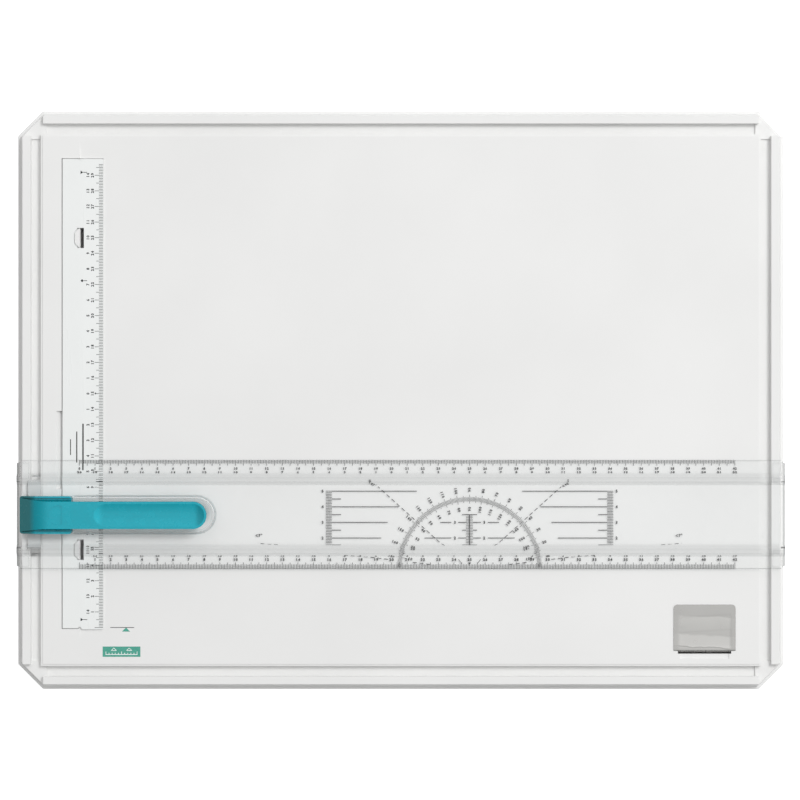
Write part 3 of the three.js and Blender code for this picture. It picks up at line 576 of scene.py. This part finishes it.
def cover_screws():
    """Domed cross recess screws with a flat under the head and a threaded shank."""
    dome_height, under_head = 0.75, 4.6
    thread_r, thread_depth, half_pitch = 1.4, 0.25, 0.35
    arm, arm_half_width, recess_depth = 1.6, 0.32, 1.1
    for node in sorted(n for n in nodes if n.startswith("cover_screw")):
        centre, low, high = middle_of(node)
        head_r = high.x - centre.x
        dome = [
            (head_r * math.sin(a), low.z + dome_height * (1 - math.cos(a)))
            for a in (i * math.pi / 16 for i in range(9))
        ]
        dome[0] = (NEAR_AXIS, low.z)
        shank = [
            (thread_r - thread_depth * (i % 2), under_head + 0.1 + half_pitch * i) for i in range(18)
        ]
        tip = [(0.3, high.z - 0.2), (NEAR_AXIS, high.z)]
        profile = [*dome, (head_r, under_head), *shank, *tip]
        mesh = mesh_from(node + "_skin", lathe(profile), 30)
        screw = piece(node + "_skin", mesh, SCREW_STEEL, "board", "screw_steel", node)
        for along_x, along_y in ((arm, arm_half_width), (arm_half_width, arm)):
            slot = bmesh.new()
            size = (2 * along_x * MM, 2 * along_y * MM, 2 * recess_depth * MM, 1)
            place = Matrix.Translation((0, 0, low.z * MM)) @ Matrix.Diagonal(size)
            bmesh.ops.create_cube(slot, size=1, matrix=place)
            cut_with(screw, slot)
        screw.data.shade_smooth()
        screw.data.set_sharp_from_angle(angle=math.radians(30))
        screw.location = (centre.x * MM, centre.y * MM, 0)


def pivot_pin():
    """A polished steel pin with chamfered ends, lying along Y."""
    length = pin_high.y - pin_low.y
    r = (pin_high.z - pin_low.z) / 2
    chamfer, hub = 0.25, 0.02
    near_end = [(hub, 0), (r - chamfer, 0), (r, chamfer)]
    far_end = [(radius, length - along) for radius, along in reversed(near_end)]
    bm = lathe(near_end + far_end, 40)
    turn = Matrix.Rotation(-math.pi / 2, 4, "X")
    bmesh.ops.transform(bm, matrix=turn, verts=bm.verts)
    pin = piece(
        "lever_pivot_pin_skin", mesh_from("lever_pivot_pin_skin", bm, 30), SPRING_STEEL,
        "ruler", "spring_steel", "lever_pivot_pin",
    )
    centre = (pin_low + pin_high) / 2
    pin.location = (centre.x * MM, pin_low.y * MM, centre.z * MM)


def return_spring():
    """The coil under the lever's arm."""
    centre = (spring_low + spring_high) / 2
    wire_r = 0.35
    radius = (spring_high.x - spring_low.x) / 2 - wire_r
    low, high = spring_low.z + wire_r, spring_high.z - wire_r
    turns, end_turns = 4.5, 0.75  # the end turns at both ends lie flat
    steps = 180
    path = []
    for i in range(steps + 1):
        t = i / steps
        angle = 2 * math.pi * turns * t
        rise = min(max((t * turns - end_turns) / (turns - 2 * end_turns), 0), 1)
        x = centre.x + radius * math.cos(angle)
        y = centre.y + radius * math.sin(angle)
        path.append(Vector((x, y, low + (high - low) * rise)))
    coil = piece(
        "lever_coil", mesh_from("lever_coil", tube(path, wire_r * 0.98), 60), SPRING_STEEL,
        "ruler", "spring_steel", "lever_spring",
    )
    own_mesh(coil)


# ---------------------------------------------------------------- corner clip


def smooth_step(value, start, end):
    t = min(max((value - start) / (end - start), 0), 1)
    return t * t * (3 - 2 * t)


def press_depth(x, y, bend_y):
    """How far the clip is pressed down: a wide tray, deeper towards the bend, and a small dent."""
    slant = 1.2 * (x - CLIP_MIDDLE) / CLIP_HALF
    side = smooth_step(CLIP_HALF - abs(x - CLIP_MIDDLE), 2.4, 3.6)
    tray = smooth_step(CLIP_FRONT - 6.4 - y + slant, 0, 1.6)
    step = smooth_step(CLIP_FRONT - 16.4 - y + slant, 0, 1.0)
    back = smooth_step(y - bend_y - 1.4, 0, 0.9)
    dent_x, dent_y = CLIP_LEFT + 4.6, CLIP_FRONT - 15.6
    dent = math.exp(-(((x - dent_x) / 2.2) ** 2) - ((y - dent_y) / 1.4) ** 2)
    return side * tray * back * (0.1 + 0.08 * step) + 0.06 * side * dent


def corner_clip():
    """One sheet of bright steel: a shallow pressed panel, a round bend and a hooked tail."""
    sheet = 0.25
    top = clip_high.z - sheet / 2  # the sheet's middle
    bend_r = 1.2
    bend_y = CLIP_BACK + sheet / 2 + bend_r + 0.05
    corner = 2.4
    tail_half = CLIP_HALF - 3.1
    bend_z = top - bend_r
    tail_y = bend_y - bend_r

    def half_width(y, in_tail):
        if in_tail:
            return tail_half
        inward = y - CLIP_FRONT + corner
        if inward > 0:
            return CLIP_HALF - corner + math.sqrt(max(corner**2 - inward**2, 0))
        return CLIP_HALF

    # Each row across the sheet: its y and z, the y and z of its upward direction, whether it's tail.
    rows = [
        (CLIP_FRONT - corner * (1 - math.cos(i * math.pi / 16)), top, 0, 1, False) for i in range(8)
    ]
    start, count = CLIP_FRONT - corner, 52
    rows += [(start + (bend_y - start) * i / count, top, 0, 1, False) for i in range(1, count + 1)]
    for i in range(1, 9):
        a = i * math.pi / 16
        ny, nz = -math.sin(a), math.cos(a)
        rows.append((bend_y + bend_r * ny, bend_z + bend_r * nz, ny, nz, i > 3))
    rows += [
        (tail_y, bend_z - 1.4, -1, 0, True),
        (tail_y + 0.2, bend_z - 1.9, -0.7, -0.7, True),
        (tail_y + 0.7, bend_z - 2.1, 0, -1, True),
        (tail_y + 3.0, bend_z - 2.1, 0, -1, True),
    ]

    columns = 64
    bm = bmesh.new()
    layers = []
    for offset in (sheet / 2, -sheet / 2):
        grid = []
        for y, z, ny, nz, in_tail in rows:
            w = half_width(y, in_tail)
            line = []
            for k in range(columns + 1):
                x = CLIP_MIDDLE + w * (2 * k / columns - 1)
                down = press_depth(x, y, bend_y) * nz
                line.append(bm.verts.new(Vector((x, y + offset * ny, z + offset * nz - down)) * MM))
            grid.append(line)
        layers.append(grid)
    upper, lower = layers
    last_row = len(rows) - 1
    for i in range(last_row):
        for k in range(columns):
            bm.faces.new((upper[i][k], upper[i + 1][k], upper[i + 1][k + 1], upper[i][k + 1]))
            bm.faces.new((lower[i][k], lower[i][k + 1], lower[i + 1][k + 1], lower[i + 1][k]))
        for k, flip in ((0, False), (columns, True)):
            side = [upper[i][k], lower[i][k], lower[i + 1][k], upper[i + 1][k]]
            bm.faces.new(side[::-1] if flip else side)
    for i, flip in ((0, True), (last_row, False)):
        for k in range(columns):
            end = [upper[i][k], lower[i][k], lower[i][k + 1], upper[i][k + 1]]
            bm.faces.new(end[::-1] if flip else end)
    mesh = mesh_from("corner_clip_skin", bm, 30)
    piece("corner_clip_skin", mesh, CLIP_STEEL, "corner_clip", "clip_steel", "corner_clip")


# ---------------------------------------------------------------- prints

glyphs = {}  # each digit's solid, made once


def glyph(character):
    """A digit as a closed flat solid, one unit high about its middle: its corners and its faces."""
    if character not in glyphs:
        text = bpy.data.curves.new("digit", "FONT")
        text.body = character
        text.resolution_u = 2
        text.extrude = 0.5
        text.offset = 0.045  # a bolder stroke
        holder = bpy.data.objects.new("digit", text)
        bpy.context.scene.collection.objects.link(holder)
        mesh = final_mesh(holder)
        bpy.data.objects.remove(holder)
        bm = bmesh.new()
        bm.from_mesh(mesh)
        bmesh.ops.remove_doubles(bm, verts=bm.verts, dist=1e-4)
        xs = [v.co.x for v in bm.verts]
        ys = [v.co.y for v in bm.verts]
        middle = Vector(((min(xs) + max(xs)) / 2, (min(ys) + max(ys)) / 2, 0))
        height = max(ys) - min(ys)
        bm.verts.index_update()
        corners = [
            Vector(((v.co - middle).x / height, (v.co - middle).y / height, v.co.z + 0.5))
            for v in bm.verts
        ]
        glyphs[character] = (corners, [[v.index for v in f.verts] for f in bm.faces])
        bm.free()
        bpy.data.meshes.remove(mesh)
        bpy.data.curves.remove(text)
    return glyphs[character]


class Prints:
    """Thin ink shapes gathered into one mesh that lies on a surface."""

    def __init__(self, height):
        self.bm = bmesh.new()
        self.height = height  # the ink's lowest height, as a function of x and y

    def corner(self, x, y, up):
        return self.bm.verts.new(Vector((x, y, self.height(x, y) + up * INK)) * MM)

    def patch(self, points):
        """A filled outline, its corners anticlockwise."""
        low = [self.corner(x, y, 0) for x, y in points]
        high = [self.corner(x, y, 1) for x, y in points]
        self.bm.faces.new(low[::-1])
        self.bm.faces.new(high)
        for i in range(len(points)):
            j = (i + 1) % len(points)
            self.bm.faces.new((low[i], low[j], high[j], high[i]))

    def line(self, x0, y0, x1, y1, width=0.22):
        along = Vector((x1 - x0, y1 - y0)).normalized() * width / 2
        dx, dy = -along.y, along.x
        self.patch(((x0 - dx, y0 - dy), (x1 - dx, y1 - dy), (x1 + dx, y1 + dy), (x0 + dx, y0 + dy)))

    def ring(self, x, y, outer, inner, sides=12):
        """A small circle drawn as short strokes."""
        middle = (outer + inner) / 2
        corners = [
            (x + middle * math.cos(a), y + middle * math.sin(a))
            for a in (2 * math.pi * i / sides for i in range(sides + 1))
        ]
        for (x0, y0), (x1, y1) in zip(corners, corners[1:]):
            self.line(x0, y0, x1, y1, outer - inner)

    def number(self, text, x, y, size=1.85, angle=0.0):
        """Digits centred on a point and turned by an angle."""
        pitch = 0.84 * size
        along = Vector((math.cos(angle), math.sin(angle)))
        upward = Vector((-along.y, along.x))
        start = -(len(text) - 1) / 2 * pitch
        for i, character in enumerate(text):
            corners, faces = glyph(character)
            middle = Vector((x, y)) + along * (start + i * pitch)
            made = []
            for c in corners:
                spot = middle + along * (c.x * size) + upward * (c.y * size)
                made.append(self.corner(spot.x, spot.y, c.z))
            for f in faces:
                self.bm.faces.new([made[k] for k in f])

    def done(self, name, material, body, slot_name):
        bmesh.ops.recalc_face_normals(self.bm, faces=self.bm.faces)
        mesh = bpy.data.meshes.new(name)
        self.bm.to_mesh(mesh)
        self.bm.free()
        piece(name, mesh, material, body, slot_name)


def edge_scales(ink):
    """Millimetre scales along both long edges of the ruler, each with two rows of centimetres."""
    high, low = ruler_high.y - 0.1, ruler_low.y + 0.1
    stroke = 0.28
    zero_above, zero_below = 20, 25  # centimetres at which the second rows have their zero
    for mm in range(SHEET_WIDTH + 1):
        x = SHEET_LEFT + mm
        ink.line(x, high, x, high - (3.6 if mm % 5 == 0 else 2.3), stroke)
        ink.line(x, low, x, low + (4.3 if mm % 5 == 0 else 3.1), stroke)
    for cm in range(SHEET_WIDTH // 10 + 1):
        x = SHEET_LEFT + 10 * cm
        ink.number(str(cm), x, RULER_Y + 29.4, 1.6)
        ink.number(str(abs(cm - zero_above)), x, RULER_Y + 26.8)
        if cm:
            ink.number(str(cm), x, RULER_Y - 28.7)
            ink.number(str(abs(cm - zero_below)), x, RULER_Y - 26.1, 1.7)


PROTRACTOR_X = SHEET_LEFT + 250  # its centre, on the ruler's lower long edge
SMALL_ANGLE = 7  # degrees of its two dashed guide lines
LARGE_ANGLE = 42


def polar(radius, degrees):
    """The place at a distance and an angle from the protractor's centre."""
    a = math.radians(degrees)
    return PROTRACTOR_X + radius * math.cos(a), ruler_low.y + radius * math.sin(a)


def protractor(ink):
    """A half circle with a mark for each degree and numbers inside and outside it."""
    inner, outer = 43.5, 46.3
    numbers_in, numbers_out, digit = 38.6, 50.9, 1.75
    for degree in range(2, 179):
        reach = 1.5 if degree % 10 == 0 else 0.8 if degree % 5 == 0 else 0
        ink.line(*polar(inner - reach, degree), *polar(outer + reach, degree), 0.23)
    for degree in range(10, 171, 10):
        turn = math.radians(degree if degree <= 90 else degree - 180)
        ink.number(str(degree), *polar(numbers_out, degree), digit, turn)
        ink.number(str(180 - degree), *polar(numbers_in, degree), digit, turn)


def dashes(ink, degrees, start, end, dash=2.6, gap=1.7):
    """A dashed line that runs out from the protractor's centre."""
    r = start
    while r < end:
        ink.line(*polar(r, degrees), *polar(min(r + dash, end), degrees), 0.4)
        r += dash + gap


def angle_sign(ink, x, y, turn):
    """A small angle sign: two strokes and a short arc."""
    def spot(u, v):
        return x + u * math.cos(turn) - v * math.sin(turn), y + u * math.sin(turn) + v * math.cos(turn)

    ink.line(*spot(-0.7, 0), *spot(0.7, 0.8), 0.28)
    ink.line(*spot(-0.7, 0), *spot(0.7, -0.8), 0.28)
    ink.line(*spot(0.2, 0.6), *spot(0.2, -0.6), 0.28)


def guide_angles(ink):
    """Dashed lines at a small and a large angle, to both sides, each with its sign and number."""
    for mirror in (False, True):
        def facing(degrees, mirror=mirror):
            return 180 - degrees if mirror else degrees

        dashes(ink, facing(LARGE_ANGLE), 21.6, 79)
        for start, end in ((25.5, 38.4), (52.7, 80.5), (123.7, 136.7)):
            dashes(ink, facing(SMALL_ANGLE), start, end)
        side = -1 if mirror else 1
        turn = math.radians(LARGE_ANGLE * side)
        labels = ((str(LARGE_ANGLE), 41.6, 83.0, turn), (str(SMALL_ANGLE), 9.1, 136.3, 0))
        for text, degrees, radius, angle in labels:
            x, y = polar(radius, facing(degrees))
            u, v = math.cos(angle), math.sin(angle)
            room = 0.8 * len(text)
            before, after = room + 1.0, room + 0.5
            angle_sign(ink, x - before * u, y - before * v, angle)
            ink.number(text, x, y, 1.9, angle)
            ink.ring(x + after * u - 0.8 * v, y + after * v + 0.8 * u, 0.45, 0.15, 8)


def ladders(ink):
    """Height scales: one up the protractor's middle and one on each side, with rungs every centimetre."""
    low = ruler_low.y
    for mm in range(15, 36):
        ink.line(PROTRACTOR_X - 2.2, low + mm, PROTRACTOR_X + 2.2, low + mm, 0.25)
    ink.line(PROTRACTOR_X, low + 14.8, PROTRACTOR_X, low + 35.2, 0.45)
    for mm in (15, 35):
        ink.line(PROTRACTOR_X - 4.8, low + mm, PROTRACTOR_X + 4.8, low + mm, 0.4)
    for side in (-1, 1):
        def bar(y, start, end, side=side, width=0.42):
            ink.line(PROTRACTOR_X + side * start, low + y, PROTRACTOR_X + side * end, low + y, width)

        bar(25, 2.2, 4.8)
        for y, name, far in ((30, "3", 18.8), (20, "2", 28.9)):
            bar(y, 2.2, 7.3)
            bar(y, 11.7, far)
            ink.number(name, PROTRACTOR_X + side * 9.4, low + y, 1.9)
        for mm in range(15, 51):
            bar(mm, 88.2, 92.1, width=0.3)
        for y, end in ((50, 33.8), (40, 45.3), (30, 52.4), (20, 56.6)):
            bar(y, end, 88.2)
            ink.number(str(y // 10), PROTRACTOR_X + side * 94.2, low + y, 1.9)
        for y in (45, 35, 25, 15):
            bar(y, 82.4, 88.2)
        ink.line(
            PROTRACTOR_X + side * 7.1, low + 6.4, PROTRACTOR_X + side * 5.0, low + 3.7, 0.3
        )
    x = PROTRACTOR_X
    ink.patch(((x, low + 2.9), (x + 0.9, low + 4.4), (x - 0.9, low + 4.4)))


def ruler_prints():
    """All print on the ruler, laid under its flat underside."""
    ink = Prints(lambda x, y: RULER_BOTTOM - LIFT - INK)
    edge_scales(ink)
    protractor(ink)
    guide_angles(ink)
    ladders(ink)
    ink.done("ruler_print", DARK_INK, "ruler", "print_dark")


def clamp_rail_prints():
    """The upright millimetre scale on the clamp rail's slope, its format marks and its grip marks."""
    right = clamp_high.x
    slope_width = 13
    slope_start = right - slope_width
    drop = clamp_high.z - SURFACE
    digit = 1.9

    def height(x, y):
        return clamp_high.z - drop * max(x - slope_start, 0) / slope_width + LIFT

    ink = Prints(height)
    for mm in range(SHEET_HEIGHT + 1):
        y = SHEET_LOW + mm
        reach = 5.5 if mm % 10 == 0 else 4.5 if mm % 5 == 0 else 2.8
        ink.line(right - reach, y, right - 0.15, y, 0.3)
    for cm in range(1, SHEET_HEIGHT // 10 + 1):
        y = SHEET_LOW + 10 * cm
        ink.number(str(cm), right - 6.9, y, digit, math.pi / 2)
        ink.number(str(abs(cm - 15)), right - 9.8, y, digit, math.pi / 2)
    left = right - 14.5
    for y in (146, -140.8):
        ink.patch(((left, y - 1.1), (left + 1.7, y), (left, y + 1.1)))
        ink.line(left + 1.7, y, left + 4.2, y, 0.4)
    y = 76.5  # the lozenge's middle
    ink.patch(((left, y), (left + 1.0, y - 1.0), (left + 2.0, y), (left + 1.0, y + 1.0)))
    ink.line(left + 2.2, y, left + 4.2, y, 0.4)
    ink.ring(right - 5.0, 4.2, 0.6, 0.0)
    grip_y = -30.2
    for i, (reach, width) in enumerate(((5.0, 0.55), (10.0, 0.7), (15.0, 0.9))):
        x = clamp_low.x + 5.3 + 4.0 * i
        ink.line(x, grip_y - reach, x, grip_y + reach, width)
    ink.done("clamp_rail_print", DARK_INK, "clamp_rail", "print_dark")


def board_prints():
    """The sheet's lower edge mark, and a plain badge with a ruler and set square sign."""
    dark = Prints(lambda x, y: SURFACE + LIFT)
    dark.line(-186.4, SHEET_LOW, -171.1, SHEET_LOW, 0.4)
    dark.done("sheet_mark_print", DARK_INK, "board", "print_dark")

    over_dark = SURFACE + LIFT + INK + 0.002  # just above the dark line it touches
    green = Prints(lambda x, y: over_dark)
    x, y, size = -176.3, SHEET_LOW, 2.6
    green.patch(((x - size, y - size), (x + size, y - size), (x, y)))
    left, right, low, high = -191.3, -167.1, -164.7, -158.1
    green.patch(((left, low), (right, low), (right, high), (left, high)))
    green.done("badge_print", GREEN_INK, "board", "print_green")

    white = Prints(lambda x, y: SURFACE + 2 * LIFT + 2 * INK)
    base = low + 1.5
    white.line(left + 1.8, base, right - 1.8, base, 0.5)
    marks, spacing = 11, 2.0
    for i in range(marks):
        x = left + 2.1 + i * spacing
        white.line(x, base, x, base + (1.9 if i % 5 == 0 else 1.1), 0.35)
    for x in (left + 7.2, right - 7.2):
        corners = ((x - 1.7, high - 2.6), (x + 1.7, high - 2.6), (x, high - 0.9))
        for a, b in zip(corners, corners[1:] + corners[:1]):
            white.line(*a, *b, 0.35)
    white.done("badge_sign_print", WHITE_INK, "board", "board_white")


rubber_feet()
cover_screws()
pivot_pin()
return_spring()
corner_clip()
ruler_prints()
clamp_rail_prints()
board_prints()


# ---------------------------------------------------------------- light, floor and camera

SKY_TOWARDS = (0.38, 0.42, 0.85)  # the bright side of the studio
SKY_SPREAD = (0.1, 0.95)  # cosines to that side where the sky is dark and fully bright
SKY_DARK = 0.26
SKY_BRIGHT = 0.9
KEY_PLACE = (1.3, 1.2, 2.8)  # a soft lamp up beyond the far right corner, in metres
KEY_SIZE = 1.0
KEY_POWER = 45.0
FLOOR_GLOW = 0.7  # added where the camera sees the floor itself
FLOOR_REACH = 60  # metres to each side
FLOOR_DROP = 0.0002  # metres below the feet
CAMERA_HEIGHT = 1.8  # metres above the drawing surface
CAMERA_X = -0.0006
LENS = 126.3  # millimetres, on a sensor 36 millimetres wide


def studio():
    """A sky that is brighter on one side, a soft lamp and a white floor."""
    scene = bpy.context.scene
    world = bpy.data.worlds.new("studio")
    scene.world = world
    world.use_nodes = True
    background = world.node_tree.nodes["Background"]
    background.inputs["Color"].default_value = (1, 1, 1, 1)
    tree = world.node_tree
    place = tree.nodes.new("ShaderNodeTexCoord")
    towards = tree.nodes.new("ShaderNodeVectorMath")
    towards.operation = "DOT_PRODUCT"
    towards.inputs[1].default_value = Vector(SKY_TOWARDS).normalized()
    ramp = tree.nodes.new("ShaderNodeMapRange")
    ramp.interpolation_type = "SMOOTHSTEP"
    ramp.inputs["From Min"].default_value = SKY_SPREAD[0]
    ramp.inputs["From Max"].default_value = SKY_SPREAD[1]
    ramp.inputs["To Min"].default_value = SKY_DARK
    ramp.inputs["To Max"].default_value = SKY_BRIGHT
    tree.links.new(place.outputs["Generated"], towards.inputs[0])
    tree.links.new(towards.outputs["Value"], ramp.inputs["Value"])
    tree.links.new(ramp.outputs["Result"], background.inputs["Strength"])
    key = bpy.data.lights.new("key", "AREA")
    key.energy = KEY_POWER
    key.size = KEY_SIZE
    lamp = bpy.data.objects.new("key", key)
    scene.collection.objects.link(lamp)
    lamp.location = KEY_PLACE
    lamp.visible_glossy = False
    lamp.visible_transmission = False
    lamp.rotation_mode = "QUATERNION"
    lamp.rotation_quaternion = Vector(KEY_PLACE).to_track_quat("Z", "Y")
    scene.view_settings.view_transform = "Standard"

    bm = bmesh.new()
    bmesh.ops.create_grid(bm, x_segments=1, y_segments=1, size=FLOOR_REACH)
    floor = bpy.data.objects.new("floor", mesh_from("floor", bm))
    scene.collection.objects.link(floor)
    floor.location.z = -FLOOR_DROP
    n = Nodes("floor_paint")
    n.shader.inputs["Base Color"].default_value = (0.9, 0.9, 0.9, 1)
    n.shader.inputs["Roughness"].default_value = 0.9
    n.shader.inputs["Emission Color"].default_value = (1, 1, 1, 1)
    seen = n.add("ShaderNodeLightPath")
    glow = n.spread(seen.outputs["Is Camera Ray"], 0, FLOOR_GLOW, 0, 1)
    n.link(glow, n.shader.inputs["Emission Strength"])
    floor.data.materials.append(n.material)


def camera():
    """Straight above the board, as the photo is taken."""
    data = bpy.data.cameras.new("camera")
    data.sensor_width = 36
    data.lens = LENS
    data.clip_start = 0.05
    data.clip_end = 20
    obj = bpy.data.objects.new("camera", data)
    bpy.context.scene.collection.objects.link(obj)
    obj.location = (CAMERA_X, 0, CAMERA_HEIGHT + SURFACE * MM)
    bpy.context.scene.camera = obj


studio()
camera()
